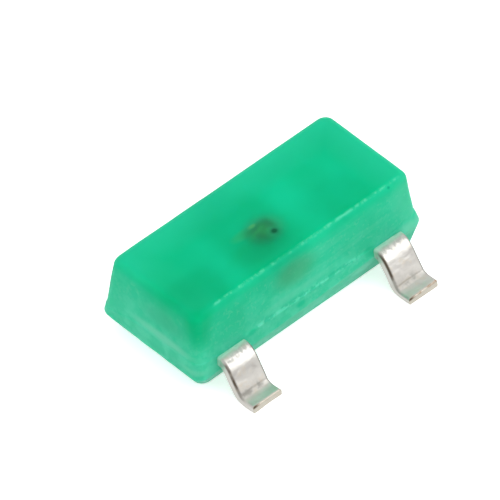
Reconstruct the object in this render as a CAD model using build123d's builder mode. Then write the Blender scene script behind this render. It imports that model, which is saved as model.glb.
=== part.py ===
from build123d import *
from math import cos, radians, sin, tan
import os

# A moulded surface-mount light-emitting diode with three gull-wing leads. Millimetres, +Z up.
# The origin is on the board, in the middle of the lead pattern. The two front leads face -Y.

# --- lead frame, stamped from one strip -------------------------------------------------------------
frame_thickness = 0.105
frame_underside = 0.27          # height of the flat strip's underside above the board
arris_radius = 0.022            # rounding that the stamping leaves along the upper edges

# --- gull-wing leads --------------------------------------------------------------------------------
lead_pitch = 1.90               # between the middles of the two front leads
lead_width = 0.34
lead_reach = 1.08               # from the middle of the part to a front lead's tip
back_lead_reach = 1.06          # and to the back lead's tip
tip_rounding = 0.035            # where the cutter rolled over the upper edge of a tip
lead_slope = 54.5               # degrees, how steeply the lead comes down
foot_length = 0.20              # from the lower bend's corner to the tip, on the strip's middle
crease_radius = 0.05            # groove that the bending tool leaves across the top of the foot
crease_depth = 0.02
upper_bend_radius = 0.12        # both at the middle of the strip's thickness
lower_bend_radius = 0.085

# --- ends of the leads inside the resin -------------------------------------------------------------
post_width = 0.50               # the pads that the two front leads end in
post_length = 0.58
post_gap = 0.26                 # between the paddle and each post
paddle_width = 0.66             # the pad that carries the chip
paddle_length = 0.74
shoulder_inset = 0.17           # from the moulded band to the posts and the paddle
pad_corner_radius = 0.05
strip_overlap = 0.10            # how far a lead's strip runs into its post or paddle

# --- moulded body -----------------------------------------------------------------------------------
band_length = 2.735             # the widest outline, along the lower edge of the parting band
band_width = 1.264
band_cover = 0.015              # how much thicker the band is than the strip, above and below
band_flare = 0.018              # how far the band's lower edge stands out past its upper edge
upper_step = 0.006              # ledge between the band and the upper half
parting_tilt = 2.6              # degrees, how much the band's lower edge rises along X
upper_height = 0.503
stand_off = 0.015               # gap between the board and the body's underside
upper_end_draft = 4.0           # degrees from upright
upper_side_draft = 9.0
lower_end_draft = 16.0
lower_side_draft = 20.8
underside_shift = 0.065         # the underside sits this far along X from the upper half
band_shift = 0.02               # and the band's lower edge this far
corner_radius = 0.105
top_edge_radius = 0.085
underside_edge_radius = 0.02

# --- chip and its connections -----------------------------------------------------------------------
chip_size = 0.26
chip_height = 0.12
chip_offset_x = 0.03            # where the chip was set down on the paddle
chip_offset_y = -0.02
attach_margin = 0.035           # how far the adhesive shows past the chip
attach_height = 0.015
contact_diameter = 0.11
contact_height = 0.01
ball_diameter = 0.078
ball_height = 0.03
ball_rounding = 0.012
wire_diameter = 0.028
wire_rise = 0.13                # from the ball up to the top of the loop
wire_level = 0.20               # length of the nearly level stretch beside the top of the loop
wire_droop = 0.015
wire_bend_radius = 0.05
stitch_length = 0.09
stitch_width = 0.055
stitch_height = 0.028
stitch_from_side = 0.10         # from the post's inner edge
stitch_from_front = 0.28        # and from its front edge

# --- sizes worked out from those --------------------------------------------------------------------
frame_top = frame_underside + frame_thickness
frame_middle = frame_underside + frame_thickness / 2
foot_middle = frame_thickness / 2
band_bottom = frame_underside - band_cover
band_top = frame_top + band_cover
body_bottom = stand_off
body_top = band_top + upper_height
band_half_width = band_width / 2
post_inner_edge = paddle_width / 2 + post_gap
post_front = -band_half_width + shoulder_inset
paddle_back = band_half_width - shoulder_inset
chip_place = (chip_offset_x, chip_offset_y)
chip_bottom = frame_top + attach_height
contact_bottom = chip_bottom + chip_height
ball_bottom = contact_bottom + contact_height
ball_top = ball_bottom + ball_height
strip_start = band_half_width - shoulder_inset - strip_overlap


def lead_path(side, reach):
    """Middle line of a gull-wing lead at x = 0, from inside the body out to the tip."""
    heel = reach - foot_length
    shoulder = heel - (frame_middle - foot_middle) / tan(radians(lead_slope))
    corners = [
        (0, side * strip_start, frame_middle),
        (0, side * shoulder, frame_middle),
        (0, side * heel, foot_middle),
        (0, side * reach, foot_middle),
    ]
    return FilletPolyline(*corners, radius=[upper_bend_radius, lower_bend_radius])


def rolled_edge(side, reach):
    """What is missing along the upper edge of a lead's tip."""
    with BuildPart() as corner:
        with Locations((0, side * reach, frame_thickness)):
            Box(lead_width * 2, tip_rounding * 2, tip_rounding * 2)
        with Locations((0, side * (reach - tip_rounding), frame_thickness - tip_rounding)):
            Cylinder(tip_rounding, lead_width * 2, rotation=(0, 90, 0), mode=Mode.SUBTRACT)
    return corner.part


def bent_lead(x, side, reach):
    """A gull-wing strip that starts inside the body and comes down to its foot."""
    crease = reach - foot_length + crease_radius
    with BuildPart() as strip:
        with BuildLine() as middle:
            lead_path(side, reach)
        with BuildSketch(Plane(middle.line @ 0, x_dir=(-side, 0, 0), z_dir=(0, side, 0))):
            stamped = Rectangle(lead_width, frame_thickness)
            fillet(stamped.vertices().group_by(Axis.Y)[-1], arris_radius)
        sweep(path=middle.line)
        with Locations((0, side * crease, frame_thickness - crease_depth + crease_radius)):
            Cylinder(crease_radius, lead_width * 2, rotation=(0, 90, 0), mode=Mode.SUBTRACT)
        add(rolled_edge(side, reach), mode=Mode.SUBTRACT)
    return strip.part.moved(Location((x, 0, 0)))


def flat_pad(length, width, centre_x, centre_y):
    """A flat pad of the lead frame, inside the resin."""
    with BuildPart() as pad:
        with BuildSketch(Plane.XY.offset(frame_underside)):
            with Locations((centre_x, centre_y)):
                RectangleRounded(width, length, pad_corner_radius)
        extrude(amount=frame_thickness)
    return pad.part


def front_lead(side_x):
    """One of the two front leads with its post; side_x is -1 on the left and 1 on the right."""
    with BuildPart() as lead:
        add(bent_lead(side_x * lead_pitch / 2, -1, lead_reach))
        post_x = side_x * (post_inner_edge + post_width / 2)
        add(flat_pad(post_length, post_width, post_x, post_front + post_length / 2))
    return lead.part


def narrowed(outline, rise, end_draft, side_draft):
    """An outline (length, width) after a tapered wall of some height."""
    return (
        outline[0] - 2 * rise * tan(radians(end_draft)),
        outline[1] - 2 * rise * tan(radians(side_draft)),
    )


os.makedirs("parts", exist_ok=True)

# Front leads: the left one takes the bond wire, and the right one only anchors the package.
with BuildPart() as anode_lead:
    add(front_lead(-1))
anode_lead.part.label = "anode_lead"
export_step(anode_lead.part, "parts/anode_lead.step")

with BuildPart() as spare_lead:
    add(front_lead(1))
spare_lead.part.label = "spare_lead"
export_step(spare_lead.part, "parts/spare_lead.step")

# Back lead, which widens into the paddle under the chip.
with BuildPart() as cathode_lead:
    add(bent_lead(0, 1, back_lead_reach))
    add(flat_pad(paddle_length, paddle_width, 0, paddle_back - paddle_length / 2))
cathode_lead.part.label = "cathode_lead"
export_step(cathode_lead.part, "parts/cathode_lead.step")

# Dab of silver-filled adhesive on the paddle.
with BuildPart() as die_attach:
    with BuildSketch(Plane.XY.offset(frame_top)):
        with Locations(chip_place):
            dab = chip_size + 2 * attach_margin
            RectangleRounded(dab, dab, attach_margin * 2)
    extrude(amount=attach_height)
die_attach.part.label = "die_attach"
export_step(die_attach.part, "parts/die_attach.step")

# The chip, sawn square.
with BuildPart() as led_chip:
    with BuildSketch(Plane.XY.offset(chip_bottom)):
        with Locations(chip_place):
            Rectangle(chip_size, chip_size)
    extrude(amount=chip_height)
led_chip.part.label = "led_chip"
export_step(led_chip.part, "parts/led_chip.step")

# Round metal contact on the chip.
with BuildPart() as chip_contact:
    with BuildSketch(Plane.XY.offset(contact_bottom)):
        with Locations(chip_place):
            Circle(contact_diameter / 2)
    extrude(amount=contact_height)
chip_contact.part.label = "chip_contact"
export_step(chip_contact.part, "parts/chip_contact.step")

# Bond wire: a ball on the contact, a loop, and a flattened stitch on the left post.
stitch_x = -post_inner_edge - stitch_from_side
stitch_y = post_front + stitch_from_front
loop_top = ball_top + wire_rise
along = Vector(stitch_x - chip_offset_x, stitch_y - chip_offset_y, 0)
level_end = along.normalized() * wire_level
wire_corners = [
    (*chip_place, ball_top - ball_height / 2),
    (*chip_place, loop_top),
    (chip_offset_x + level_end.X, chip_offset_y + level_end.Y, loop_top - wire_droop),
    (stitch_x, stitch_y, frame_top + stitch_height - wire_diameter / 2),
]
with BuildPart() as bond_wire:
    with BuildSketch(Plane.XY.offset(ball_bottom)):
        with Locations(chip_place):
            Circle(ball_diameter / 2)
    extrude(amount=ball_height)
    fillet(bond_wire.edges().group_by(Axis.Z)[-1], ball_rounding)
    with BuildLine() as wire_middle:
        FilletPolyline(*wire_corners, radius=wire_bend_radius)
    with BuildSketch(Plane(wire_middle.line @ 0, z_dir=wire_middle.line % 0)):
        Circle(wire_diameter / 2)
    sweep(path=wire_middle.line)
    with Locations(Plane((stitch_x, stitch_y, frame_top), x_dir=along)):
        on_the_post = (Align.CENTER, Align.CENTER, Align.MIN)
        Box(stitch_length, stitch_width, stitch_height, align=on_the_post)
bond_wire.part.label = "bond_wire"
export_step(bond_wire.part, "parts/bond_wire.step")

# The moulded block: upper half, parting band and lower half, moulded round everything inside it.
band_outline = (band_length, band_width)
band_upper_outline = (band_length - 2 * band_flare, band_width - 2 * band_flare)
upper_outline = (band_upper_outline[0] - 2 * upper_step, band_upper_outline[1] - 2 * upper_step)
top_outline = narrowed(upper_outline, upper_height, upper_end_draft, upper_side_draft)
underside = narrowed(band_outline, band_bottom - body_bottom, lower_end_draft, lower_side_draft)
rising = Vector(cos(radians(parting_tilt)), 0, sin(radians(parting_tilt)))
parting = Plane((band_shift, 0, band_bottom), x_dir=rising, z_dir=(-rising.Z, 0, rising.X))
inner_pieces = [anode_lead, spare_lead, cathode_lead, die_attach, led_chip, chip_contact, bond_wire]
with BuildPart() as moulded_body:
    with BuildSketch(Plane.XY.offset(band_top)):
        RectangleRounded(*upper_outline, corner_radius)
    with BuildSketch(Plane.XY.offset(body_top)):
        RectangleRounded(*top_outline, corner_radius)
    loft()
    fillet(moulded_body.faces().sort_by(Axis.Z)[-1].edges(), top_edge_radius)
    with BuildSketch(parting):
        RectangleRounded(*band_outline, corner_radius)
    with BuildSketch(Plane.XY.offset(band_top)):
        RectangleRounded(*band_upper_outline, corner_radius)
    loft()
    with BuildSketch(parting):
        RectangleRounded(*band_outline, corner_radius)
    with BuildSketch(Plane.XY.offset(body_bottom)):
        with Locations((underside_shift, 0)):
            RectangleRounded(*underside, corner_radius)
    loft()
    fillet(moulded_body.faces().sort_by(Axis.Z)[0].edges(), underside_edge_radius)
    for piece in inner_pieces:
        add(piece.part, mode=Mode.SUBTRACT)
moulded_body.part.label = "moulded_body"
export_step(moulded_body.part, "parts/moulded_body.step")
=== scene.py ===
# %% [markdown]
# # A surface-mount LED in green resin
# The part is a tiny block of milky green epoxy with three bent metal leads. A chip, its gold wire and
# the inner ends of the leads show dimly through the resin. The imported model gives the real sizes, and
# this file gives it its finish: first the camera, then the block, the leads and what is inside, each
# with its own material, and last the floor and the studio light.

# %% Load the frame
import math
import bmesh
import bpy
from mathutils import Matrix, Vector, noise


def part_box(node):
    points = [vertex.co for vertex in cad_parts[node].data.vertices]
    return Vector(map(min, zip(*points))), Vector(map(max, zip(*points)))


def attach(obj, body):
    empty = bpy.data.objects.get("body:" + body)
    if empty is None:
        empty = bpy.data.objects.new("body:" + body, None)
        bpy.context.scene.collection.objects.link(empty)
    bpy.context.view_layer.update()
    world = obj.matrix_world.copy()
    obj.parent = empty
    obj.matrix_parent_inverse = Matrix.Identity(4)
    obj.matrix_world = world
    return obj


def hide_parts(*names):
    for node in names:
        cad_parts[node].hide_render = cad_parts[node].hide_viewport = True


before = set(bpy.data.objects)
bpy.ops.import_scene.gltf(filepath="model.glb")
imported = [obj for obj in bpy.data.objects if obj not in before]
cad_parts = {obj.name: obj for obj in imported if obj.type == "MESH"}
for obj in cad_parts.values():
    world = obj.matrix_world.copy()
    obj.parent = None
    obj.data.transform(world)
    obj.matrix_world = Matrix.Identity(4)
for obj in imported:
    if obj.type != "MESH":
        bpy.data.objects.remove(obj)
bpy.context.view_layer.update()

# %% [markdown]
# Blender works in metres, and this part is under three millimetres long. Meshes are easiest to think
# about in millimetres, so every piece is shaped in millimetres and scaled once, when it is finished.

# %% Millimetres
MM = 0.001
scene = bpy.context.scene


def box_mm(node):
    """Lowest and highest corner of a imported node, in millimetres."""
    low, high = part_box(node)
    return Vector(low) / MM, Vector(high) / MM


block_low, block_high = box_mm("moulded_body")
print("block in mm:", block_low, block_high)

# %% [markdown]
# ## Camera
# The part is seen from its front left, from well above, through a long lens. A macro lens stands far
# off compared with the part, so the edges stay almost parallel. The camera is placed by its direction
# and distance, and then slid sideways a little to frame the part.

# %% Place the camera
AZIMUTH, ELEVATION = math.radians(-43.78), math.radians(46.0)
CAMERA_DISTANCE = 163.0          # mm from the middle of the block
FRAME_WIDTH = 4.3875             # mm across the picture at that distance
SENSOR_WIDTH = 36.0
SLIDE_RIGHT, SLIDE_UP = -0.092, -0.0325
AIM_HEIGHT = 0.5                 # mm above the board
NEAREST, FURTHEST = 0.005, 5.0   # metres between which the camera sees anything

towards_camera = Vector((
    math.sin(AZIMUTH) * math.cos(ELEVATION),
    -math.cos(AZIMUTH) * math.cos(ELEVATION),
    math.sin(ELEVATION),
))
camera_right = Vector((math.cos(AZIMUTH), math.sin(AZIMUTH), 0.0))
camera_up = towards_camera.cross(camera_right)
look_at = Vector((0.0, 0.0, AIM_HEIGHT)) + camera_right * SLIDE_RIGHT + camera_up * SLIDE_UP

camera_data = bpy.data.cameras.new("camera")
camera_data.sensor_width = SENSOR_WIDTH
camera_data.lens = SENSOR_WIDTH * CAMERA_DISTANCE / FRAME_WIDTH
camera_data.clip_start, camera_data.clip_end = NEAREST, FURTHEST
camera = bpy.data.objects.new("camera", camera_data)
camera.location = (look_at + towards_camera * CAMERA_DISTANCE) * MM
camera.rotation_mode = "QUATERNION"
camera.rotation_quaternion = Matrix((camera_right, camera_up, towards_camera)).transposed().to_quaternion()
scene.collection.objects.link(camera)
scene.camera = camera
print("lens", round(camera_data.lens), "mm")

# %% [markdown]
# ## Small helpers
# A finished piece is a mesh object that sits at the origin, with its place in its mesh. `finish_piece`
# turns a bmesh into one, and hides the imported node that it stands in for.

# %% Helpers for pieces
def finish_piece(name, bm, material, node=None, smooth_below=40.0):
    """Turn a bmesh in millimetres into a piece of the part."""
    bmesh.ops.scale(bm, vec=(MM, MM, MM), verts=bm.verts)
    bmesh.ops.recalc_face_normals(bm, faces=bm.faces)
    mesh = bpy.data.meshes.new(name)
    bm.to_mesh(mesh)
    bm.free()
    mesh.materials.append(material)
    piece = bpy.data.objects.new(name, mesh)
    scene.collection.objects.link(piece)
    mesh.polygons.foreach_set("use_smooth", [True] * len(mesh.polygons))
    mesh.set_sharp_from_angle(angle=math.radians(smooth_below))
    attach(piece, "root")
    if node:
        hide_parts(node)
    print(name, "has", len(mesh.polygons), "faces")
    return piece

# %% [markdown]
# ## Materials
# A material is a small graph of nodes. `new_material` makes one with its Principled shader and the
# coordinates in millimetres, so that every pattern below can be sized in millimetres.

# %% Helpers for materials
MIX_FIRST, MIX_SECOND, MIX_RESULT = 6, 7, 2      # the colour sockets of a Mix node, by number


def new_material(name):
    """A new material, the tree of its nodes, its Principled shader, and coordinates in mm."""
    material = bpy.data.materials.new(name)
    material.use_nodes = True
    tree = material.node_tree
    shader = tree.nodes["Principled BSDF"]
    coordinates = tree.nodes.new("ShaderNodeTexCoord")
    to_mm = tree.nodes.new("ShaderNodeMapping")
    to_mm.inputs["Scale"].default_value = (1 / MM, 1 / MM, 1 / MM)
    tree.links.new(coordinates.outputs["Object"], to_mm.inputs["Vector"])
    return material, tree, shader, to_mm.outputs["Vector"]


def noise_value(tree, vector, scale, detail=3.0, roughness=0.5, stretch=(1, 1, 1)):
    """Noise of `scale` bumps per millimetre; stretch makes the bumps long along an axis."""
    mapping = tree.nodes.new("ShaderNodeMapping")
    mapping.inputs["Scale"].default_value = stretch
    texture = tree.nodes.new("ShaderNodeTexNoise")
    texture.inputs["Scale"].default_value = scale
    texture.inputs["Detail"].default_value = detail
    texture.inputs["Roughness"].default_value = roughness
    tree.links.new(vector, mapping.inputs["Vector"])
    tree.links.new(mapping.outputs["Vector"], texture.inputs["Vector"])
    return texture.outputs["Fac"]


def ranged(tree, value, low, high, to_low=0.0, to_high=1.0):
    """Map a value from one range to another, with its ends held."""
    node = tree.nodes.new("ShaderNodeMapRange")
    node.interpolation_type = "SMOOTHSTEP"
    for name, number in (("From Min", low), ("From Max", high), ("To Min", to_low), ("To Max", to_high)):
        node.inputs[name].default_value = number
    tree.links.new(value, node.inputs["Value"])
    return node.outputs["Result"]


def math_node(tree, operation, a, b=None):
    """One arithmetic node; a and b are sockets or numbers."""
    node = tree.nodes.new("ShaderNodeMath")
    node.operation = operation
    for socket, value in zip(node.inputs, (a, b)):
        if value is None:
            continue
        if isinstance(value, (int, float)):
            socket.default_value = value
        else:
            tree.links.new(value, socket)
    return node.outputs["Value"]


def mixed(tree, factor, first, second):
    """Mix two colours; each is a socket or an RGB tuple."""
    node = tree.nodes.new("ShaderNodeMix")
    node.data_type = "RGBA"
    sockets = node.inputs["Factor"], node.inputs[MIX_FIRST], node.inputs[MIX_SECOND]
    for socket, value in zip(sockets, (factor, first, second)):
        if isinstance(value, tuple):
            socket.default_value = (*value, 1.0)
        elif isinstance(value, (int, float)):
            socket.default_value = value
        else:
            tree.links.new(value, socket)
    return node.outputs[MIX_RESULT]


def bumped(tree, shader, height, distance_mm, strength=1.0):
    """Feed a height into the shader's normal; distance_mm is the height's real depth."""
    node = tree.nodes.new("ShaderNodeBump")
    node.inputs["Strength"].default_value = strength
    node.inputs["Distance"].default_value = distance_mm * MM
    tree.links.new(height, node.inputs["Height"])
    tree.links.new(node.outputs["Normal"], shader.inputs["Normal"])

# %% [markdown]
# ## Green resin
# The block is epoxy with a green dye and a milky filler. Light goes a little way in, is scattered and
# comes out green, so the block seems to glow, and what lies inside shows as a soft shade. A real volume
# with scattering would do this, but it is slow and noisy. The usual short cut is one Principled shader
# with three layers: part of the light goes right through and meets the metal inside, part is scattered
# just under the surface, and a thin gloss lies on top.

# %% How clear and how glossy the resin is
RESIN_CLEAR = 0.42       # share of the light that goes through
WINDOW_CLEAR = 0.80      # the same right above the chip, where the resin is thinnest
RESIN_GLOSS = 0.12       # 0.5 is what the refractive index gives; the filler takes most of it away
RESIN_ROUGH, WINDOW_ROUGH = 0.54, 0.29
RESIN_INDEX = 1.54
GLOSS_TINT = (0.02, 1.0, 0.75, 1.0)
SCATTERED, SCATTER_REACH = 0.7, 0.2      # share of the light, and how far it spreads in mm
SCATTER_BY_COLOR = (0.3, 1.0, 0.7)       # red is swallowed soonest, green goes furthest
TOP = 0.893                              # height of the block's top in mm
CHIP_WINDOW, WINDOW_SIZE = (-0.10, -0.145, TOP), (0.275, 0.225, 0.3)     # middle and half-sizes
print("light through the resin:", RESIN_CLEAR, "and above the chip:", WINDOW_CLEAR)


# %% Helpers for masks
SPOT_CORE = 0.25         # the part of a soft spot's half-size in which it is full


def plus(tree, a, b):
    """The sum of two masks or numbers."""
    return math_node(tree, "ADD", a, b)


def greater(tree, a, b):
    """The greater of two masks or numbers."""
    return math_node(tree, "MAXIMUM", a, b)


def split_xyz(tree, vector):
    """The three parts of a vector."""
    node = tree.nodes.new("ShaderNodeSeparateXYZ")
    tree.links.new(vector, node.inputs["Vector"])
    return node.outputs["X"], node.outputs["Y"], node.outputs["Z"]


def multiply(tree, *values):
    """The product of several masks."""
    product = values[0]
    for value in values[1:]:
        product = math_node(tree, "MULTIPLY", product, value)
    return product


def band(tree, value, low, high, soft):
    """1 where a value lies between low and high, with soft ends."""
    rising = ranged(tree, value, low - soft, low + soft)
    falling = ranged(tree, value, high - soft, high + soft, 1.0, 0.0)
    return multiply(tree, rising, falling)


def soft_spot(tree, place, centre, half_size):
    """1 in the core of a soft ellipsoid (mm), falling to 0 at its half-sizes."""
    value = place
    for operation, numbers in (("SUBTRACT", centre), ("DIVIDE", half_size)):
        node = tree.nodes.new("ShaderNodeVectorMath")
        node.operation = operation
        node.inputs[1].default_value = numbers
        tree.links.new(value, node.inputs[0])
        value = node.outputs["Vector"]
    length = tree.nodes.new("ShaderNodeVectorMath")
    length.operation = "LENGTH"
    tree.links.new(value, length.inputs[0])
    return ranged(tree, length.outputs["Value"], SPOT_CORE, 1.0, 1.0, 0.0)


# %% [markdown]
# The top came out of a polished part of the mould and is deep green. The walls slid along the mould as
# it opened, so they are finely scuffed, most of all near the parting line. The walls are also painted
# paler than the top, and paler still towards the bottom: painted light, where the front light and the
# white floor fall on them. The edges are finely chipped, and the light that the chipped spots catch is
# painted as pale glints. All of this is painted by where a point lies on the block, so each mask is a
# band or a soft ellipsoid in millimetres, broken up by noise. Single spots, such as a speck, a painted
# shade or a painted light, are kept in one table.

# %% Colours of the resin
TOP_DEEP, TOP_CLOUDED = (0.0002, 0.545, 0.24), (0.0005, 0.60, 0.29)
TOP_RIM, TOP_WINDOW = (0.010, 0.63, 0.34), (0.05, 0.57, 0.26)
# painted shade where the lead frame's pads lie under the top
TOP_PAINTED_SHADE = (0.0001, 0.50, 0.205)
# the walls are painted paler than the top, and paler towards the floor: painted light
WALL_HIGH, WALL_LOW = (0.026, 0.66, 0.36), (0.10, 0.73, 0.46)
WALL_BELOW_TOP, WALL_FOOT = (0.006, 0.61, 0.31), (0.17, 0.75, 0.52)
WALL_CLOUD, WALL_BLOTCH = (0.02, 0.60, 0.33), (0.010, 0.58, 0.30)
# the second colour is painted glints on chipped edges, the third is painted shade on the ledge between them
SCUFFED, CHIP_GLINT, LEDGE_GAP_SHADE = (0.17, 0.76, 0.53), (0.19, 0.79, 0.57), (0.006, 0.50, 0.26)

# %% Single spots on the block: centre, half-sizes, strength and colour
SPOTS = {
    "rich corner": ((-1.25, -0.53, 0.80), (0.22, 0.20, 0.34), 0.85, (0.0008, 0.52, 0.225)),
    # the next three are painted shade, under the ledge and where the band meets the leads
    "rich patch under the ledge": ((-0.10, -0.63, 0.32), (0.09, 0.05, 0.05), 0.8, (0.004, 0.56, 0.28)),
    "rich patch by the left lead": ((-0.69, -0.62, 0.37), (0.08, 0.05, 0.05), 0.8, (0.004, 0.56, 0.28)),
    "rich patch by the right lead": ((0.74, -0.62, 0.37), (0.10, 0.05, 0.10), 0.6, (0.004, 0.54, 0.26)),
    # the next two are painted light, soft streaks on the front wall and on the left end
    "pale streak on the wall": ((-0.15, -0.59, 0.47), (0.60, 0.06, 0.055), 0.55, (0.13, 0.72, 0.46)),
    "pale streak on the end": ((-1.34, -0.16, 0.43), (0.08, 0.50, 0.070), 0.85, (0.20, 0.75, 0.52)),
    # painted light, lifting the wall where the right lead shades it
    "pale rim by the right lead": ((0.66, -0.60, 0.20), (0.18, 0.08, 0.09), 0.60, (0.20, 0.86, 0.58)),
    "pale end of the ledge": ((1.22, -0.60, 0.33), (0.22, 0.12, 0.11), 0.62, (0.25, 0.80, 0.58)),
    "pale end of the wall": ((1.24, -0.55, 0.66), (0.26, 0.14, 0.30), 0.40, (0.12, 0.68, 0.43)),
    "pale rim by the corner": ((-1.33, -0.57, 0.28), (0.14, 0.24, 0.05), 0.60, (0.18, 0.74, 0.50)),
    # the next three are painted shade of the lead frame's pads, seen through the top
    "rich patch on the top": ((-1.00, -0.09, TOP), (0.50, 0.44, 0.3), 0.66, TOP_PAINTED_SHADE),
    "rich patch over the post": ((0.62, 0.03, TOP), (0.26, 0.24, 0.3), 0.60, TOP_PAINTED_SHADE),
    "rich rim on the top": ((-1.20, -0.16, TOP), (0.26, 0.58, 0.3), 0.60, TOP_PAINTED_SHADE),
    "dull patch on the end": ((-1.33, -0.15, 0.64), (0.10, 0.36, 0.15), 0.55, (0.055, 0.53, 0.30)),
    "shade of the chip on the wall": ((-0.12, -0.56, 0.68), (0.34, 0.10, 0.20), 0.50, (0.10, 0.46, 0.20)),
    "speck on the edge": ((1.06, -0.528, 0.88), (0.028, 0.028, 0.028), 0.8, (0.0, 0.25, 0.14)),
    "shade of the pad": ((-0.30, -0.29, TOP), (0.40, 0.24, 0.3), 0.50, (0.0002, 0.45, 0.17)),
    "glow of the wire": ((-0.28, -0.07, TOP), (0.17, 0.07, 0.1), 0.40, (0.05, 0.50, 0.13)),
    "glint of the wire": ((-0.150, -0.047, TOP), (0.060, 0.028, 0.05), 0.40, (0.22, 0.60, 0.12)),
    "soft edge of the grain": ((-0.047, -0.223, TOP), (0.100, 0.088, 0.09), 0.50, (0.008, 0.24, 0.10)),
    "dark grain above the chip": ((-0.045, -0.221, TOP), (0.052, 0.046, 0.06), 0.85, (0.0, 0.06, 0.022)),
}
OPAQUE_SPOTS = (
    "speck on the edge",
    "glint of the wire",
    "soft edge of the grain",
    "dark grain above the chip",
)
print("single spots on the resin:", len(SPOTS))


# %% Colour of the top
TOP_END, TOP_BACK = 1.30, 0.53           # mm from the middle, where the paler rim is measured from


def top_color(tree, x, y, cloud, window):
    """Deep green with slow clouds, paler towards the ends and the back, and clearer above the chip."""
    to_end = math_node(tree, "SUBTRACT", TOP_END, math_node(tree, "ABSOLUTE", x))
    to_back = math_node(tree, "SUBTRACT", TOP_BACK, y)
    margin = ranged(tree, math_node(tree, "MINIMUM", to_end, to_back), 0.02, 0.40, 1.0, 0.0)
    color = mixed(tree, cloud, TOP_DEEP, TOP_CLOUDED)
    color = mixed(tree, margin, color, TOP_RIM)
    return mixed(tree, multiply(tree, window, window), color, TOP_WINDOW)


# %% Colour of the walls
def wall_color(tree, z, cloud):
    """Painted light: paler than the top and paler downwards towards the floor, with a darker strip just below
    the top and a pale foot.
    """
    color = mixed(tree, ranged(tree, z, 0.85, 0.28), WALL_HIGH, WALL_LOW)
    color = mixed(tree, ranged(tree, z, 0.74, 0.87, 0.0, 0.6), color, WALL_BELOW_TOP)
    color = mixed(tree, ranged(tree, z, 0.24, 0.08), color, WALL_FOOT)
    return mixed(tree, multiply(tree, cloud, 0.3), color, WALL_CLOUD)


# %% Scuffs on the walls
def scuffed_wall(tree, place, z, on_long_wall, grain, color):
    """Blotches, streaks drawn along the block, and short pale ticks on the long walls."""
    blotch = noise_value(tree, place, 6.0, detail=3.0, roughness=0.6)
    streaks = noise_value(tree, place, 15.0, detail=2.0, stretch=(0.12, 1.0, 1.0))
    color = mixed(tree, ranged(tree, blotch, 0.42, 0.60, 0.45, 0.0), color, WALL_BLOTCH)
    ticks = multiply(tree, on_long_wall, ranged(tree, grain, 0.54, 0.70, 0.0, 0.26))
    scuffs = plus(tree, ranged(tree, streaks, 0.50, 0.72, 0.0, 0.17), ticks)
    scuffs = multiply(tree, scuffs, ranged(tree, z, 0.84, 0.74))
    return mixed(tree, scuffs, color, SCUFFED)


# %% Painted glints on chipped edges
LEDGE_HEIGHTS, LEDGE_SOFT = (0.366, 0.412), 0.016
LEDGE_DASHES = ((-0.64, 0.26, 0.05), (0.31, 0.38, 0.012), (0.44, 0.62, 0.015))   # start, end, softness


def chip_glint_masks(tree, place, x, y, z):
    """Masks of the painted glints on the chipped front edge of the top and on the ledge, and of the painted
    shade on the ledge between glints.
    """
    broken = noise_value(tree, place, 14.0, detail=4.0, roughness=0.7)
    on_edge = multiply(tree, band(tree, y, -0.504, -0.486, 0.013),
                       ranged(tree, z, 0.84, 0.86), band(tree, x, -1.04, 1.20, 0.03),
                       ranged(tree, broken, 0.46, 0.60, 0.06, 0.72))
    dashes = 0.0
    for start, end, soft in LEDGE_DASHES:
        dashes = greater(tree, dashes, band(tree, x, start, end, soft))
    height = band(tree, z, *LEDGE_HEIGHTS, LEDGE_SOFT)
    in_front = ranged(tree, y, -0.59, -0.60)
    on_ledge = multiply(tree, height, dashes, in_front,
                        ranged(tree, broken, 0.45, 0.60, 0.08, 0.52))
    between = multiply(tree, height, band(tree, x, -0.62, 0.62, 0.05), in_front,
                       ranged(tree, broken, 0.46, 0.56, 0.6, 0.0))
    return greater(tree, on_edge, on_ledge), between


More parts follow.
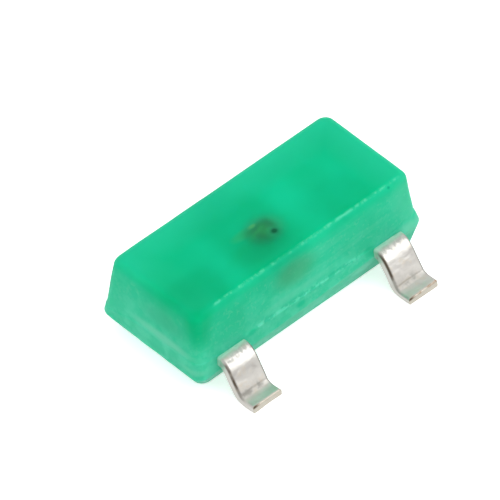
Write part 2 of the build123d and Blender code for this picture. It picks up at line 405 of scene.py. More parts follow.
# %% Green resin
def green_resin():
    material, tree, shader, place = new_material("green_resin")
    x, y, z = split_xyz(tree, place)
    geometry = tree.nodes.new("ShaderNodeNewGeometry")
    _, facing_back, facing_up = split_xyz(tree, geometry.outputs["Normal"])
    on_top = multiply(tree, ranged(tree, facing_up, 0.80, 0.97),
                      ranged(tree, z, 0.6, 0.7))
    on_long_wall = ranged(tree, math_node(tree, "ABSOLUTE", facing_back), 0.5, 0.8)
    window = soft_spot(tree, place, CHIP_WINDOW, WINDOW_SIZE)
    cloud = ranged(tree, noise_value(tree, place, 1.2, detail=2.0), 0.38, 0.62)
    grain = noise_value(tree, place, 30.0, detail=2.0)

    # colour: walls and top, then the painted shade and glints on the edges, then the single spots
    wall = scuffed_wall(tree, place, z, on_long_wall, grain, wall_color(tree, z, cloud))
    color = mixed(tree, on_top, wall, top_color(tree, x, y, cloud, window))
    chip_glints, between = chip_glint_masks(tree, place, x, y, z)
    # painted shade on the ledge between the glints, then the painted glints
    color = mixed(tree, between, color, LEDGE_GAP_SHADE)
    color = mixed(tree, chip_glints, color, CHIP_GLINT)
    opaque = chip_glints
    for name, (centre, half_size, strength, spot_color) in SPOTS.items():
        spot = multiply(tree, soft_spot(tree, place, centre, half_size), strength)
        color = mixed(tree, spot, color, spot_color)
        if name in OPAQUE_SPOTS:
            opaque = greater(tree, opaque, spot)
    tree.links.new(color, shader.inputs["Base Color"])

    # clearness: more above the chip, none in a chip or speck, and full for light on its way out
    clear = plus(tree, multiply(tree, window, WINDOW_CLEAR - RESIN_CLEAR), RESIN_CLEAR)
    clear = multiply(tree, clear, math_node(tree, "SUBTRACT", 1.0, opaque))
    clear = greater(tree, clear, geometry.outputs["Backfacing"])
    tree.links.new(clear, shader.inputs["Transmission Weight"])
    rough = plus(tree, multiply(tree, window, WINDOW_ROUGH - RESIN_ROUGH), RESIN_ROUGH)
    tree.links.new(rough, shader.inputs["Roughness"])
    for name, value in (("IOR", RESIN_INDEX), ("Specular IOR Level", RESIN_GLOSS),
                        ("Specular Tint", GLOSS_TINT), ("Subsurface Weight", SCATTERED),
                        ("Subsurface Radius", SCATTER_BY_COLOR), ("Subsurface Scale", SCATTER_REACH * MM)):
        shader.inputs[name].default_value = value
    height = plus(tree, multiply(tree, grain, 0.5), multiply(tree, chip_glints, 2.0))
    bumped(tree, shader, height, 0.002, 0.5)
    return material


resin = green_resin()
print(resin.name, "has", len(resin.node_tree.nodes), "nodes")

# %% [markdown]
# ## The block
# Two mould halves meet in a thin band that stands out all round, where resin was squeezed between them.
# A loft or a box with bevels could make it. Here the widest outline of the band is drawn once as a
# rounded rectangle, and rings are lifted off it, up for the upper half and down for the lower half.
# Each ring is one step of the profile, so the sloping walls, the ledge and the rounded edges all come
# from a few heights and half-sizes. The two halves never met quite square, so the band's edge
# rises a little along X and the underside sits a little to one side.

# %% Sizes of the block
BAND_OUTLINE = Vector((2.735, 1.264)) / 2        # half-length and half-width
FLARE, UPPER_STEP = Vector((0.018, 0.018)), Vector((0.006, 0.006))
BAND_BOTTOM, BAND_TOP = 0.255, 0.39
CORNER_RADIUS, TOP_EDGE_RADIUS, UNDERSIDE_RADIUS = 0.105, 0.085, 0.02
UPPER_DRAFT = Vector((math.tan(math.radians(4.0)), math.tan(math.radians(9.0))))
LOWER_DRAFT = Vector((math.tan(math.radians(16.0)), math.tan(math.radians(20.8))))
BAND_SHIFT, UNDERSIDE_SHIFT = 0.02, 0.065
PARTING_RISE = math.tan(math.radians(2.6))
CORNER_STEPS, LENGTH_STEPS, WIDTH_STEPS = 12, 110, 50
print("band outline in mm:", 2 * BAND_OUTLINE)


# %% Rings for the block
def ring_outline(bm):
    """The band's widest outline, with enough points along its straight sides to be made uneven."""
    bmesh.ops.create_grid(bm, x_segments=1, y_segments=1, size=1.0)
    bmesh.ops.scale(bm, vec=(*BAND_OUTLINE, 1), verts=bm.verts)
    bmesh.ops.bevel(bm, geom=bm.verts[:], offset=CORNER_RADIUS, affect="VERTICES", segments=CORNER_STEPS,
                    profile=0.5, material=-1)
    bmesh.ops.delete(bm, geom=bm.faces[:], context="FACES_ONLY")
    long_edges = [e for e in bm.edges if e.calc_length() > BAND_OUTLINE.x]
    short_edges = [e for e in bm.edges if BAND_OUTLINE.y / 2 < e.calc_length() < BAND_OUTLINE.x]
    bmesh.ops.subdivide_edges(bm, edges=long_edges, cuts=LENGTH_STEPS)
    bmesh.ops.subdivide_edges(bm, edges=short_edges, cuts=WIDTH_STEPS)
    for v in bm.verts:
        v.co.z = BAND_BOTTOM + v.co.x * PARTING_RISE
        v.co.x += BAND_SHIFT
    return bmesh.ops.edgeloop_fill(bm, edges=bm.edges[:])["faces"][0]


def lift_ring(bm, face, height, half_size, middle_x=0.0, rise=0.0):
    """Extrude a face into the next ring: its height, its half-length and half-width, and its middle."""
    grown = bmesh.ops.extrude_face_region(bm, geom=[face])
    verts = [v for v in grown["geom"] if isinstance(v, bmesh.types.BMVert)]
    new_face = [f for f in grown["geom"] if isinstance(f, bmesh.types.BMFace)][0]
    low_x, high_x = min(v.co.x for v in verts), max(v.co.x for v in verts)
    half_y = max(v.co.y for v in verts)
    for v in verts:
        v.co.x = middle_x + (2 * v.co.x - low_x - high_x) / (high_x - low_x) * half_size.x
        v.co.y *= half_size.y / half_y
        v.co.z = height + (v.co.x - middle_x) * rise
    bmesh.ops.delete(bm, geom=[face], context="FACES_ONLY")
    return new_face


def lift_between(bm, face, first, last, shares):
    """Lift rings part of the way from a first ring to a last one; a ring is (height, half, middle, rise)."""
    for share in shares:
        ring = [a + (b - a) * share for a, b in zip(first, last)]
        face = lift_ring(bm, face, *ring)
    return face


def lift_rounding(bm, face, ring, radius, upwards, steps):
    """Lift rings round a quarter circle, from the wall on to the flat, and one more on the flat."""
    height, half_size, middle_x, _ = ring
    for step in range(1, steps + 1):
        angle = math.pi / 2 * step / steps
        z = height + (radius if upwards else -radius) * math.sin(angle)
        turned_in = radius * (1 - math.cos(angle))
        face = lift_ring(bm, face, z, half_size - Vector((turned_in, turned_in)), middle_x)
    return lift_ring(bm, face, z, half_size - Vector((turned_in, turned_in)) * 1.25, middle_x)


# %% [markdown]
# Squeezed-out resin is never even. The ledge dips towards the back left corner and climbs at the front
# right one, and the thin edge of the band is ragged. Seeded noise moves the points of those rings a few
# thousandths of a millimetre.

# %% Uneven band
NOISE_SEED = 3           # without one the noise would follow the clock, and no two runs would match
BACK_LEFT, FRONT_RIGHT = Vector((-1.32, 0.58)), Vector((1.34, -0.58))
LEDGE_DIP, LEDGE_CLIMB = 0.09, 0.045     # mm at the back left and at the front right corner
EDGE_CLIMB, EDGE_LIP = 0.016, 0.007      # mm that the thin edge rises and stands out at the back left
RAGGED, WAVY = 0.006, 0.0025             # mm that noise moves the thin edges, and every point
noise.seed_set(NOISE_SEED)
print("noise seed:", NOISE_SEED)


def fade(distance, reach):
    """1 at a spot, falling smoothly to 0 at its reach."""
    share = max(0.0, 1.0 - distance / reach)
    return share * share * (3 - 2 * share)


def make_uneven(bm):
    """Bend the ledge and the thin edge at two corners, and let noise move the points."""
    for v in bm.verts:
        flat = v.co.xy
        edge_height = BAND_BOTTOM + (v.co.x - BAND_SHIFT) * PARTING_RISE
        share = (v.co.z - edge_height) / (BAND_TOP - edge_height)
        at_ledge = max(0.0, share) if share < 1 else fade(v.co.z - BAND_TOP, 0.3)
        v.co.z -= LEDGE_DIP * at_ledge * fade((flat - BACK_LEFT).length, 0.5)
        v.co.z += LEDGE_CLIMB * at_ledge * fade((flat - FRONT_RIGHT).length, 0.45)
        at_edge = max(fade(abs(v.co.z - edge_height), 0.03), fade(abs(share - 1), 0.15) * 0.6)
        v.co.z += EDGE_CLIMB * fade(abs(v.co.z - edge_height), 0.06) * fade((flat - BACK_LEFT).length, 0.7)
        lip = EDGE_LIP * fade(abs(v.co.z - edge_height), 0.03) * fade((flat - BACK_LEFT).length, 0.14)
        v.co += Vector((-lip, lip, 0.0))
        v.co += noise.noise_vector(Vector((v.co.x, v.co.y, 7.0)) * 9.0) * RAGGED * at_edge
        v.co += noise.noise_vector(v.co * 2.2) * WAVY


# %% Build the block
def make_block():
    """Lift the upper and the lower half off the band's outline, smooth the ledge and make it uneven."""
    bm = bmesh.new()
    outline = ring_outline(bm)
    copy = bmesh.ops.duplicate(bm, geom=[outline])
    upper = [f for f in copy["geom"] if isinstance(f, bmesh.types.BMFace)][0]
    parting = (BAND_BOTTOM, BAND_OUTLINE, BAND_SHIFT, PARTING_RISE)
    band_top = (BAND_TOP, BAND_OUTLINE - FLARE, 0.0, 0.0)
    ledge = (BAND_TOP, BAND_OUTLINE - FLARE - UPPER_STEP, 0.0, 0.0)
    wall = block_high.z - TOP_EDGE_RADIUS - BAND_TOP
    wall_top = (BAND_TOP + wall, ledge[1] - UPPER_DRAFT * wall, 0.0, 0.0)
    upper = lift_between(bm, upper, parting, band_top, (0.08, 0.4, 0.7, 0.87, 0.95, 1.0))
    upper = lift_between(bm, upper, band_top, ledge, (0.5, 1.0))
    upper = lift_between(bm, upper, ledge, wall_top, (0.02, 0.05, 0.1, 0.25, 0.4, 0.55, 0.7, 0.85, 0.97, 1.0))
    lift_rounding(bm, upper, wall_top, TOP_EDGE_RADIUS, True, 8)
    fall = BAND_BOTTOM - block_low.z
    foot = fall - UNDERSIDE_RADIUS
    wall_foot = (BAND_BOTTOM - foot, BAND_OUTLINE - LOWER_DRAFT * foot, UNDERSIDE_SHIFT, 0.0)
    lower = lift_between(bm, outline, parting, wall_foot, (0.08, 0.3, 0.55, 0.8, 0.97, 1.0))
    lift_rounding(bm, lower, wall_foot, UNDERSIDE_RADIUS, False, 3)
    bmesh.ops.remove_doubles(bm, verts=bm.verts, dist=1e-5)
    at_ledge = [v for v in bm.verts if abs(v.co.z - BAND_TOP) < 0.02]
    for _ in range(4):
        bmesh.ops.smooth_vert(bm, verts=at_ledge, factor=0.5,
                              use_axis_x=True, use_axis_y=True, use_axis_z=True)
    make_uneven(bm)
    finish_piece("resin_block", bm, resin, node="moulded_body")


make_block()

# %% [markdown]
# ## Metal of the leads
# The leads are copper alloy with a thin matt coat of tin. Tin is never an even mirror: it is blotched and
# faintly warm in places. A dark brown line along the upper edges is a painted reflection of the dark
# surroundings that those rounded edges mirror. The tip is cut after plating, so its end shows bare copper
# along the top. A lead is bent, so a pattern that has to follow it can't be read from plain coordinates.
# Each lead's mesh carries its own numbers for that: how far across and how far up through the thickness
# a point lies, how far it is along the strip from the tip and from the resin, and how deep in the crease.
# The strip is drawn a hundredth of a millimetre thinner than the imported one.

# %% Numbers and colours of the metal
LEAD_NUMBERS = ("across", "up", "to_tip", "from_resin", "in_crease")
LEAD_WIDTH, LEAD_THICKNESS = 0.34, 0.095
# the brown line along the upper edges is a painted dark reflection
EDGE_LINE_WIDTH = 0.018        # width of the brown line along the upper edges
TIN_GREY, TIN_PALE, TIN_WARM = (0.64, 0.617, 0.575), (0.71, 0.687, 0.645), (0.68, 0.60, 0.48)
EDGE_REFLECTION_BROWN = (0.085, 0.062, 0.040)
CUT_TIN, CUT_COPPER, CUT_STAIN = (0.60, 0.55, 0.43), (0.38, 0.24, 0.15), (0.09, 0.065, 0.035)
RESIN_FILM, RESIN_SKIN = (0.60, 0.82, 0.71), (0.26, 0.64, 0.48)
# the second colour makes the crease darker
RUBBED, CREASE_DARKER = (0.36, 0.355, 0.34), (0.31, 0.30, 0.27)


def own_number(tree, name):
    """One of the numbers that a lead's mesh carries."""
    node = tree.nodes.new("ShaderNodeAttribute")
    node.attribute_name = name
    return node.outputs["Fac"]


# %% Worn edges
def edge_dark_reflection(tree, across, up, to_tip, from_resin, broad):
    """The painted dark reflection along the upper edges: gone at the resin, and weak near the tip."""
    off_middle = math_node(tree, "ABSOLUTE", across)
    from_edge = math_node(tree, "SUBTRACT", LEAD_WIDTH / 2, off_middle)
    return multiply(tree, ranged(tree, from_edge, EDGE_LINE_WIDTH * 0.5, EDGE_LINE_WIDTH * 1.5, 1.0, 0.0),
                    ranged(tree, up, 0.3, 0.75), ranged(tree, broad, 0.35, 0.55, 0.45, 1.0),
                    ranged(tree, from_resin, 0.01, 0.07),
                    ranged(tree, to_tip, 0.08, 0.20, 0.25, 1.0))


# %% Cut end of a tip
def cut_end(tree, place, across, up, to_tip, blotch, color):
    """Bare copper at the top of the cut with a stain at its left; weaker on the rest of the left lead."""
    at_cut = ranged(tree, to_tip, 0.004, 0.016, 1.0, 0.0)
    left_end = ranged(tree, across, -0.15, -0.06, 1.0, 0.0)
    x = split_xyz(tree, place)[0]
    strong = plus(tree, x, multiply(tree, left_end, 4.0))
    copper = multiply(tree, at_cut, ranged(tree, up, 0.25, 0.9),
                      ranged(tree, strong, -0.2, 0.2, 0.25, 1.0),
                      greater(tree, left_end, ranged(tree, blotch, 0.42, 0.62, 0.1, 0.8)))
    color = mixed(tree, multiply(tree, at_cut, 0.6), color, CUT_TIN)
    return mixed(tree, copper, color, mixed(tree, left_end, CUT_COPPER, CUT_STAIN))


# %% Film of resin on the shoulder
def resin_film(tree, from_resin, blotch):
    """Masks of the thin film of resin that crept out over the metal, and of the skin next to the wall."""
    ragged = plus(tree, from_resin, multiply(tree, blotch, 0.06))
    outside = ranged(tree, from_resin, -0.06, -0.03)
    film = multiply(tree, ranged(tree, ragged, 0.030, 0.065, 0.6, 0.0), outside)
    skin = multiply(tree, ranged(tree, ragged, 0.020, 0.040, 0.6, 0.0), outside)
    return film, skin


# %% Tinned metal
def tinned_metal():
    material, tree, shader, place = new_material("tinned_metal")
    across, up, to_tip, from_resin, in_crease = (own_number(tree, name) for name in LEAD_NUMBERS)
    in_crease = multiply(tree, in_crease, ranged(tree, up, 0.4, 0.8),
                         ranged(tree, across, 0.07, 0.14, 1.0, 0.45))
    broad = noise_value(tree, place, 6.0, detail=2.0)
    blotch = noise_value(tree, place, 14.0, detail=2.0)
    fine = noise_value(tree, place, 60.0, detail=2.0)
    scratches = noise_value(tree, place, 28.0, detail=3.0, stretch=(1.0, 0.5, 0.5))

    # tin with warm blotches, then the painted dark reflection on the edges, the cut, resin, scuffs on the
    # bend, and a darker crease
    color = mixed(tree, ranged(tree, broad, 0.35, 0.65), TIN_GREY, TIN_PALE)
    color = mixed(tree, ranged(tree, blotch, 0.54, 0.72, 0.0, 0.45), color, TIN_WARM)
    edge = edge_dark_reflection(tree, across, up, to_tip, from_resin, broad)
    color = mixed(tree, edge, color, EDGE_REFLECTION_BROWN)
    color = cut_end(tree, place, across, up, to_tip, blotch, color)
    film, skin = resin_film(tree, from_resin, blotch)
    color = mixed(tree, film, color, RESIN_FILM)
    color = mixed(tree, skin, color, RESIN_SKIN)
    rubbed = multiply(tree, band(tree, from_resin, 0.035, 0.062, 0.028),
                      ranged(tree, scratches, 0.40, 0.60, 0.15, 0.80))
    color = mixed(tree, rubbed, color, RUBBED)
    # darker in the crease
    crease_darkening = multiply(tree, in_crease, in_crease,
                     ranged(tree, blotch, 0.38, 0.62, 0.65, 0.35))
    color = mixed(tree, crease_darkening, color, CREASE_DARKER)
    tree.links.new(color, shader.inputs["Base Color"])

    # resin and the painted dark edge line aren't metal, and what is worn is rougher
    dull = greater(tree, greater(tree, film, skin), multiply(tree, edge, 0.5))
    tree.links.new(ranged(tree, dull, 0.0, 1.0, 0.68, 0.15), shader.inputs["Metallic"])
    in_bend = multiply(tree, band(tree, from_resin, 0.035, 0.070, 0.02),
                       ranged(tree, scratches, 0.44, 0.60, 0.0, 0.8))
    worn = multiply(tree, in_crease, ranged(tree, blotch, 0.40, 0.58, 1.2, 0.6))
    worn = multiply(tree, greater(tree, worn, in_bend), 0.45)
    rough = ranged(tree, blotch, 0.3, 0.7, 0.285, 0.36)
    tree.links.new(plus(tree, rough, worn), shader.inputs["Roughness"])
    height = plus(tree, multiply(tree, blotch, 3.0), multiply(tree, fine, 0.25))
    bumped(tree, shader, height, 0.0012)
    return material


tinned = tinned_metal()
print(tinned.name, "has", len(tinned.node_tree.nodes), "nodes")

# %% [markdown]
# ## Leads
# A lead is a flat strip, bent twice like a gull's wing. It could be a curve with a bevel, but a curve
# can't thin the foot or press a crease into it. Here the strip's section is drawn once, as a loop of
# edges with its upper corners rolled over. `run` extrudes the loop straight on, and `bend` spins it
# round a bend. Every new ring notes how far along the strip it is, and that also says where the foot
# gets thinner and where the tool pressed its crease.

# %% Section of the strip
UPPER_ARRIS, LOWER_ARRIS = 0.026, 0.008


def lead_section(bm):
    """The strip's section as a loop of edges that stands across Y, and its points' own numbers."""
    for name in LEAD_NUMBERS:
        bm.verts.layers.float.new(name)
    across, up = bm.verts.layers.float["across"], bm.verts.layers.float["up"]
    bmesh.ops.create_grid(bm, x_segments=1, y_segments=1, size=0.5)
    bmesh.ops.scale(bm, vec=(LEAD_WIDTH, LEAD_THICKNESS, 1), verts=bm.verts)
    for radius, side, segments in ((UPPER_ARRIS, 1, 5), (LOWER_ARRIS, -1, 2)):
        corners = [v for v in bm.verts if abs(v.co.y * side - LEAD_THICKNESS / 2) < 1e-6]
        bmesh.ops.bevel(bm, geom=corners, offset=radius, affect="VERTICES", segments=segments,
                        profile=0.5, material=-1)
    bmesh.ops.delete(bm, geom=bm.faces[:], context="FACES_ONLY")
    bmesh.ops.subdivide_edges(bm, edges=[e for e in bm.edges if e.calc_length() > LEAD_WIDTH / 2], cuts=27)
    bmesh.ops.subdivide_edges(bm, edges=[e for e in bm.edges if e.calc_length() > LEAD_THICKNESS / 3], cuts=3)
    bmesh.ops.rotate(bm, cent=(0, 0, 0), matrix=Matrix.Rotation(math.pi / 2, 3, "X"), verts=bm.verts)
    for v in bm.verts:
        v[across], v[up] = v.co.x, v.co.z / (LEAD_THICKNESS / 2)
    return bm.edges[:]


# %% Straight runs and bends
class Strip:
    """A strip on its way out along -Y: its last ring, its place, its slope and its length so far."""

    def __init__(self, start_y, height):
        self.bm = bmesh.new()
        self.ring = lead_section(self.bm)
        self.spot, self.slope, self.length = Vector((0, start_y, height)), 0.0, 0.0
        bmesh.ops.translate(self.bm, vec=self.spot, verts=self.bm.verts)
        self.rings = []
        self.note(self.bm.verts[:])

    def note(self, verts):
        """Keep a ring's points, its length along the strip and its upward direction."""
        normal = Vector((0, -math.sin(self.slope), math.cos(self.slope)))
        self.rings.append((verts, self.length, normal))

    def run(self, length, steps):
        """Extrude the ring straight on."""
        onward = Vector((0, -math.cos(self.slope), -math.sin(self.slope))) * (length / steps)
        for _ in range(steps):
            grown = bmesh.ops.extrude_edge_only(self.bm, edges=self.ring)["geom"]
            verts = [g for g in grown if isinstance(g, bmesh.types.BMVert)]
            self.ring = [g for g in grown if isinstance(g, bmesh.types.BMEdge) and set(g.verts) <= set(verts)]
            bmesh.ops.translate(self.bm, vec=onward, verts=verts)
            self.spot, self.length = self.spot + onward, self.length + length / steps
            self.note(verts)

    def bend(self, radius, angle, steps):
        """Spin the ring downwards by an angle, or upwards by a negative one."""
        above = radius if angle < 0 else -radius
        centre = self.spot + Vector((0, -math.sin(self.slope), math.cos(self.slope))) * above
        turn = Matrix.Rotation(angle / steps, 3, "X")
        for _ in range(steps):
            spun = bmesh.ops.spin(self.bm, geom=self.ring, cent=centre, axis=(1, 0, 0), dvec=(0, 0, 0),
                                  angle=angle / steps, steps=1, use_merge=False, use_duplicate=False)
            spun = spun["geom_last"]
            verts = [g for g in spun if isinstance(g, bmesh.types.BMVert)]
            self.ring = [g for g in spun if isinstance(g, bmesh.types.BMEdge)]
            self.spot = centre + turn @ (self.spot - centre)
            self.slope += angle / steps
            self.length += radius * abs(angle) / steps
            self.note(verts)


# %% [markdown]
# The upper bend starts tight and opens out, so it is made as two bends, of a smaller and a larger
# radius. The foot isn't quite flat. Past the sharp lower bend it goes on in a long shallow curve, like a
# spoon, and rises a little to its tip. The tool also squeezed the strip thinner there, and the cutter
# pulled the tip's upper edge down. No two leads are alike, so each reads the noise at its own place.

# %% Shape of the foot
FOOT_SQUEEZE, SQUEEZE_REACH = 0.024, 0.10      # mm thinner, and within how many mm of the crease
TIP_ROLL, TIP_ROLL_REACH = 0.007, 0.02
CREASE_CORE, CREASE_REACH = 0.030, 0.080
CREASE_ABOVE = 0.35                            # the crease fades out more slowly up the slope
DENTS = ((5.0, 0.0035), (20.0, 0.0007))        # bumps per mm, and how far they move a point
LOWER_BEND, SPOON_BEND = 0.07, 0.40            # radii at the middle of the strip


def shape_foot(strip, place_in_noise):
    """Squeeze the foot thinner, roll the tip's edge, and add a little unevenness all over."""
    across, up, to_tip, from_resin, in_crease = strip.bm.verts.layers.float.values()
    for verts, length, normal in strip.rings:
        left = strip.length - length
        thinner = FOOT_SQUEEZE * (1 - fade(max(0.0, length - strip.crease_length), SQUEEZE_REACH))
        rolled = TIP_ROLL * max(0.0, 1 - left / TIP_ROLL_REACH) ** 2
        past_crease = length - strip.crease_length - LOWER_BEND * 0.4
        from_crease = max(past_crease - CREASE_CORE, (CREASE_CORE - past_crease) * CREASE_ABOVE)
        for v in verts:
            v[to_tip], v[from_resin] = left, length - strip.exit_length
            v[in_crease] = fade(from_crease, CREASE_REACH)
            skew = 1 + 2.0 * v[across] * math.sin(place_in_noise)
            v.co -= normal * (v[up] + 1) / 2 * (thinner * skew + rolled)
            if length > strip.exit_length:
                for bumps, depth in DENTS:
                    v.co += noise.noise_vector(v.co * bumps + Vector((place_in_noise, 0, 0))) * depth
            v.co.z = max(v.co.z, 0.0)


# %% Pad inside the resin
STRIP_LOW, STRIP_THICKNESS = 0.27, 0.105       # the lead frame's own height and thickness, as packed
STRIP_HIGH = STRIP_LOW + STRIP_THICKNESS
PAD_CORNER = 0.05


def add_pad(bm, low, high):
    """A flat pad of the lead frame with rounded corners, between two corner points."""
    plate = bmesh.ops.create_grid(bm, x_segments=1, y_segments=1, size=0.5)["verts"]
    size, middle = high - low, (high + low) / 2
    bmesh.ops.scale(bm, vec=(size.x, size.y, 1), verts=plate)
    bmesh.ops.translate(bm, vec=(middle.x, middle.y, low.z), verts=plate)
    bmesh.ops.bevel(bm, geom=plate, offset=PAD_CORNER, affect="VERTICES", segments=5,
                    profile=0.5, material=-1)
    face = [f for f in bm.faces if f.calc_area() > 0.1][-1]
    lifted = bmesh.ops.extrude_face_region(bm, geom=[face], use_keep_orig=True)["geom"]
    lid = [g for g in lifted if isinstance(g, bmesh.types.BMVert)]
    bmesh.ops.translate(bm, vec=(0, 0, size.z), verts=lid)


# %% Bends of a lead
LEAD_SLOPE, SPOON_SLOPE, FOOT_RISE = (math.radians(degrees) for degrees in (54.5, 11.0, 6.0))
UPPER_BENDS = ((0.09, math.radians(35.0)), (0.22, LEAD_SLOPE))     # radius, and the slope it ends at


def upper_bends_size():
    """How far the upper bends carry the strip forwards and down."""
    forward, down, slope = 0.0, 0.0, 0.0
    for radius, next_slope in UPPER_BENDS:
        forward += radius * (math.sin(next_slope) - math.sin(slope))
        down += radius * (math.cos(slope) - math.cos(next_slope))
        slope = next_slope
    return forward, down


print("upper bends, forwards and down in mm:", upper_bends_size())

# %% Build a lead
FRAME_MIDDLE = STRIP_LOW + STRIP_THICKNESS / 2 + (LEAD_THICKNESS - STRIP_THICKNESS) / 2
FOOT_MIDDLE = LEAD_THICKNESS / 2
FOOT_LENGTH, SHOULDER_OUT = 0.20, 0.012
BLOCK_SIDE, SHOULDER_INSET, STRIP_OVERLAP = 0.632, 0.17, 0.012


def make_lead(name, node, x, side, reach, pad_low, pad_high, place_in_noise):
    """Run and bend a strip from inside the resin to the tip, shape its foot and add its pad."""
    start = BLOCK_SIDE - SHOULDER_INSET - STRIP_OVERLAP
    drop = FRAME_MIDDLE - FOOT_MIDDLE
    shoulder = reach - FOOT_LENGTH - drop / math.tan(LEAD_SLOPE) + SHOULDER_OUT
    forward, down = upper_bends_size()
    round_drop = (down + SPOON_BEND * (1 - math.cos(SPOON_SLOPE))
                  + LOWER_BEND * (math.cos(SPOON_SLOPE) - math.cos(LEAD_SLOPE)))
    strip = Strip(-start, FRAME_MIDDLE)
    strip.exit_length = BLOCK_SIDE - start
    strip.run(shoulder - (forward - down / math.tan(LEAD_SLOPE)) - start, 8)
    for radius, next_slope in UPPER_BENDS:
        strip.bend(radius, next_slope - strip.slope, 10)
    strip.run((drop - round_drop) / math.sin(LEAD_SLOPE), 18)
    strip.crease_length = strip.length
    strip.bend(LOWER_BEND, SPOON_SLOPE - LEAD_SLOPE, 14)
    strip.bend(SPOON_BEND, -SPOON_SLOPE - FOOT_RISE, 16)
    strip.run((reach + strip.spot.y) / math.cos(FOOT_RISE), 12)
    shape_foot(strip, place_in_noise)
    bm = strip.bm
    bmesh.ops.edgeloop_fill(bm, edges=strip.ring)
    first = [e for e in bm.edges if e.is_boundary]
    bmesh.ops.edgeloop_fill(bm, edges=first)
    if side > 0:
        bmesh.ops.rotate(bm, cent=(0, 0, 0), matrix=Matrix.Rotation(math.pi, 3, "Z"), verts=bm.verts)
    bmesh.ops.translate(bm, vec=(x, 0, 0), verts=bm.verts)
    add_pad(bm, Vector((*pad_low, STRIP_LOW)), Vector((*pad_high, STRIP_HIGH)))
    finish_piece(name, bm, tinned, node=node, smooth_below=50.0)


# %% The three leads: name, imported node, X, side, reach, corners of the pad, and place in the noise
LEADS = (
    ("left_lead", "anode_lead", -0.95, -1, 1.08, (-1.09, -0.462), (-0.59, 0.118), 3.0),
    ("right_lead", "spare_lead", 0.95, -1, 1.08, (0.59, -0.462), (1.09, 0.118), 11.0),
    ("back_lead", "cathode_lead", 0.0, 1, 1.06, (-0.33, -0.278), (0.33, 0.462), 23.0),
)
for lead in LEADS:
    make_lead(*lead)

# %% [markdown]
# ## Chip
# The chip is a cube of semiconductor crystal, sawn out of a wafer, so its walls carry fine saw lines and
# its top is smooth with a faint grain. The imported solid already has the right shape, and only its
# material is missing. Noise squashed along Z gives the saw lines, both as shade and as relief.

# %% Semiconductor
def dress(node, material):
    """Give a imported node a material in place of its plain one."""
    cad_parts[node].data.materials.clear()
    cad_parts[node].data.materials.append(material)
    print(node, "is", material.name)


CRYSTAL_DARK, CRYSTAL_PALE, SAW_LINE = (0.32, 0.165, 0.065), (0.40, 0.215, 0.09), (0.24, 0.13, 0.06)


def semiconductor():
    material, tree, shader, place = new_material("semiconductor")
    grain = noise_value(tree, place, 25.0, detail=3.0)
    saw_lines = noise_value(tree, place, 60.0, detail=2.0, stretch=(0.12, 0.12, 1.0))
    color = mixed(tree, ranged(tree, grain, 0.35, 0.65), CRYSTAL_DARK, CRYSTAL_PALE)
    color = mixed(tree, ranged(tree, saw_lines, 0.50, 0.65, 0.0, 0.4), color, SAW_LINE)
    tree.links.new(color, shader.inputs["Base Color"])
    tree.links.new(ranged(tree, saw_lines, 0.35, 0.65, 0.32, 0.50), shader.inputs["Roughness"])
    bumped(tree, shader, saw_lines, 0.0015)
    return material


dress("led_chip", semiconductor())

# %% [markdown]
# ## Gold
# The pad on the chip and the wire are soft, nearly pure gold. The tool that bonds the wire presses small
# dents into it, so the gloss is never even. The wire is thinner than a hair and its packed tube is round
# enough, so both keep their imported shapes.

# %% Bonded gold
GOLD_DARK, GOLD_PALE = (0.66, 0.43, 0.12), (0.78, 0.53, 0.17)


def bonded_gold():
    material, tree, shader, place = new_material("bonded_gold")
    dents = noise_value(tree, place, 45.0, detail=2.0)
    tone = noise_value(tree, place, 12.0, detail=2.0)
    color = mixed(tree, ranged(tree, tone, 0.35, 0.65), GOLD_DARK, GOLD_PALE)
    tree.links.new(color, shader.inputs["Base Color"])
    shader.inputs["Metallic"].default_value = 0.9
    tree.links.new(ranged(tree, dents, 0.35, 0.65, 0.26, 0.42), shader.inputs["Roughness"])
    bumped(tree, shader, dents, 0.002)
    return material


gold = bonded_gold()
dress("chip_contact", gold)
dress("bond_wire", gold)

# %% [markdown]
# ## Adhesive
# The chip is glued down with epoxy that is filled with silver flakes. Close up it is a warm grey paste
# with small bright flecks. Cells of a Voronoi pattern stand for the flakes: where a cell's centre is
# near, the paste turns to silver.

# %% Silver adhesive
PASTE_DARK, PASTE_PALE, SILVER_FLAKE = (0.28, 0.24, 0.16), (0.36, 0.31, 0.21), (0.66, 0.64, 0.58)


def silver_adhesive():
    material, tree, shader, place = new_material("silver_adhesive")
    cells = tree.nodes.new("ShaderNodeTexVoronoi")
    cells.inputs["Scale"].default_value = 70.0
    tree.links.new(place, cells.inputs["Vector"])
    flake = ranged(tree, cells.outputs["Distance"], 0.18, 0.32, 1.0, 0.0)
    tone = noise_value(tree, place, 12.0)
    paste = mixed(tree, tone, PASTE_DARK, PASTE_PALE)
    tree.links.new(mixed(tree, flake, paste, SILVER_FLAKE), shader.inputs["Base Color"])
    tree.links.new(ranged(tree, flake, 0.0, 1.0, 0.2, 0.95), shader.inputs["Metallic"])
    tree.links.new(ranged(tree, flake, 0.0, 1.0, 0.60, 0.35), shader.inputs["Roughness"])
    bumped(tree, shader, flake, 0.001)
    return material


dress("die_attach", silver_adhesive())

# %% [markdown]
# ## Floor
# A part this small is shown on a white sweep. The floor is white to the lens, to the metal that mirrors
# it and to the light that comes through the resin. That is done with Light Path, which tells a material
# what kind of ray has reached it, so no extra light falls on the part. To the lens it is a pale plain
# surface lifted almost to white, and the part's soft shadow still shows on it.

# %% White floor
FLOOR_RADIUS = 0.3                       # metres
FLOOR_LIFT = 0.52                        # light that the lens sees on top of the floor's own
FLOOR_TO_LIGHT, FLOOR_TO_LENS, BLACK = (0.8, 0.8, 0.8), (0.95, 0.95, 0.95), (0.0, 0.0, 0.0)


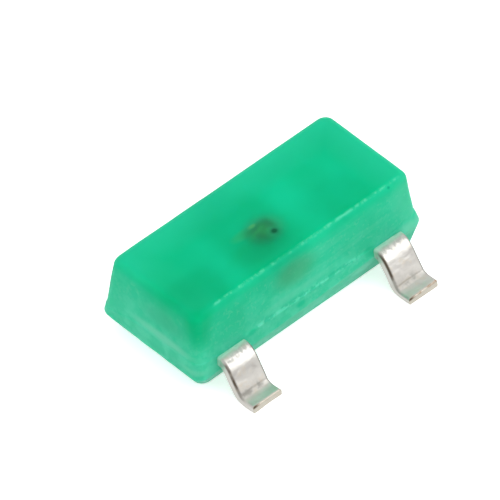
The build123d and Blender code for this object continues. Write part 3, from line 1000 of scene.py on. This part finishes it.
def floor_material():
    """White to a ray that was mirrored or came through the resin, and lifted for the lens."""
    material, tree, shader, _ = new_material("floor")
    shader.inputs["Roughness"].default_value = 0.9
    shader.inputs["Specular IOR Level"].default_value = 0.0
    path = tree.nodes.new("ShaderNodeLightPath")
    to_lens = path.outputs["Is Camera Ray"]
    mirrored = greater(tree, path.outputs["Is Transmission Ray"], path.outputs["Is Glossy Ray"])
    tone = mixed(tree, to_lens, FLOOR_TO_LIGHT, FLOOR_TO_LENS)
    tree.links.new(mixed(tree, mirrored, tone, BLACK), shader.inputs["Base Color"])
    shader.inputs["Emission Color"].default_value = (1, 1, 1, 1)
    lifted = multiply(tree, to_lens, FLOOR_LIFT)
    tree.links.new(plus(tree, mirrored, lifted), shader.inputs["Emission Strength"])
    return material


def make_floor():
    bm = bmesh.new()
    bmesh.ops.create_circle(bm, cap_ends=True, segments=64, radius=FLOOR_RADIUS)
    mesh = bpy.data.meshes.new("floor")
    bm.to_mesh(mesh)
    bm.free()
    mesh.materials.append(floor_material())
    floor = bpy.data.objects.new("floor", mesh)
    scene.collection.objects.link(floor)
    print("floor", 2 * FLOOR_RADIUS, "m across")


make_floor()

# %% [markdown]
# ## Light
# Shiny metal shows what stands round it, so it is lit with large soft areas and not with bare lamps. A
# world does that at once: an even studio of one level, a soft box above the front that gives the bends
# their bright band, and dimmer sides, like grey cards, that keep the slopes and feet grey. Each area is
# a lobe round one direction. Its edge is given in degrees, and the dot product of two directions is the
# cosine of the angle between them.

# %% Studio
STUDIO_LEVEL = 0.85
STUDIO_LOBES = {     # direction, where it is full and where it ends in degrees, and level
    "soft box": ((0.48, -0.58, 0.66), 24.0, 29.0, 1.8),
    "grey card behind": ((0.48, 0.55, 0.68), 12.0, 45.0, -0.18),
    "fill from the left": ((-1.0, -0.1, 0.25), 10.0, 70.0, 0.3),
    "grey card in front": ((0.48, -0.86, 0.16), 13.0, 25.0, -0.80),
}


def studio():
    """A world whose brightness is one level plus the lobes."""
    world = bpy.data.worlds.new("studio")
    world.use_nodes = True
    tree = world.node_tree
    direction = tree.nodes.new("ShaderNodeTexCoord").outputs["Generated"]
    level = STUDIO_LEVEL
    for towards, full, none, extra in STUDIO_LOBES.values():
        aim = tree.nodes.new("ShaderNodeVectorMath")
        aim.operation = "DOT_PRODUCT"
        aim.inputs[1].default_value = Vector(towards).normalized()
        tree.links.new(direction, aim.inputs[0])
        edges = (math.cos(math.radians(none)), math.cos(math.radians(full)))
        lobe = ranged(tree, aim.outputs["Value"], *edges, 0.0, extra)
        level = plus(tree, level, lobe)
    background = tree.nodes["Background"]
    background.inputs["Color"].default_value = (1, 1, 1, 1)
    tree.links.new(level, background.inputs["Strength"])
    return world


scene.world = studio()
print("studio with", len(STUDIO_LOBES), "soft areas")

# %% [markdown]
# ## View settings
# Standard shows a colour as it is written. The other settings stay as they are.

# %% Standard view
scene.view_settings.view_transform = "Standard"
print("view transform", scene.view_settings.view_transform)
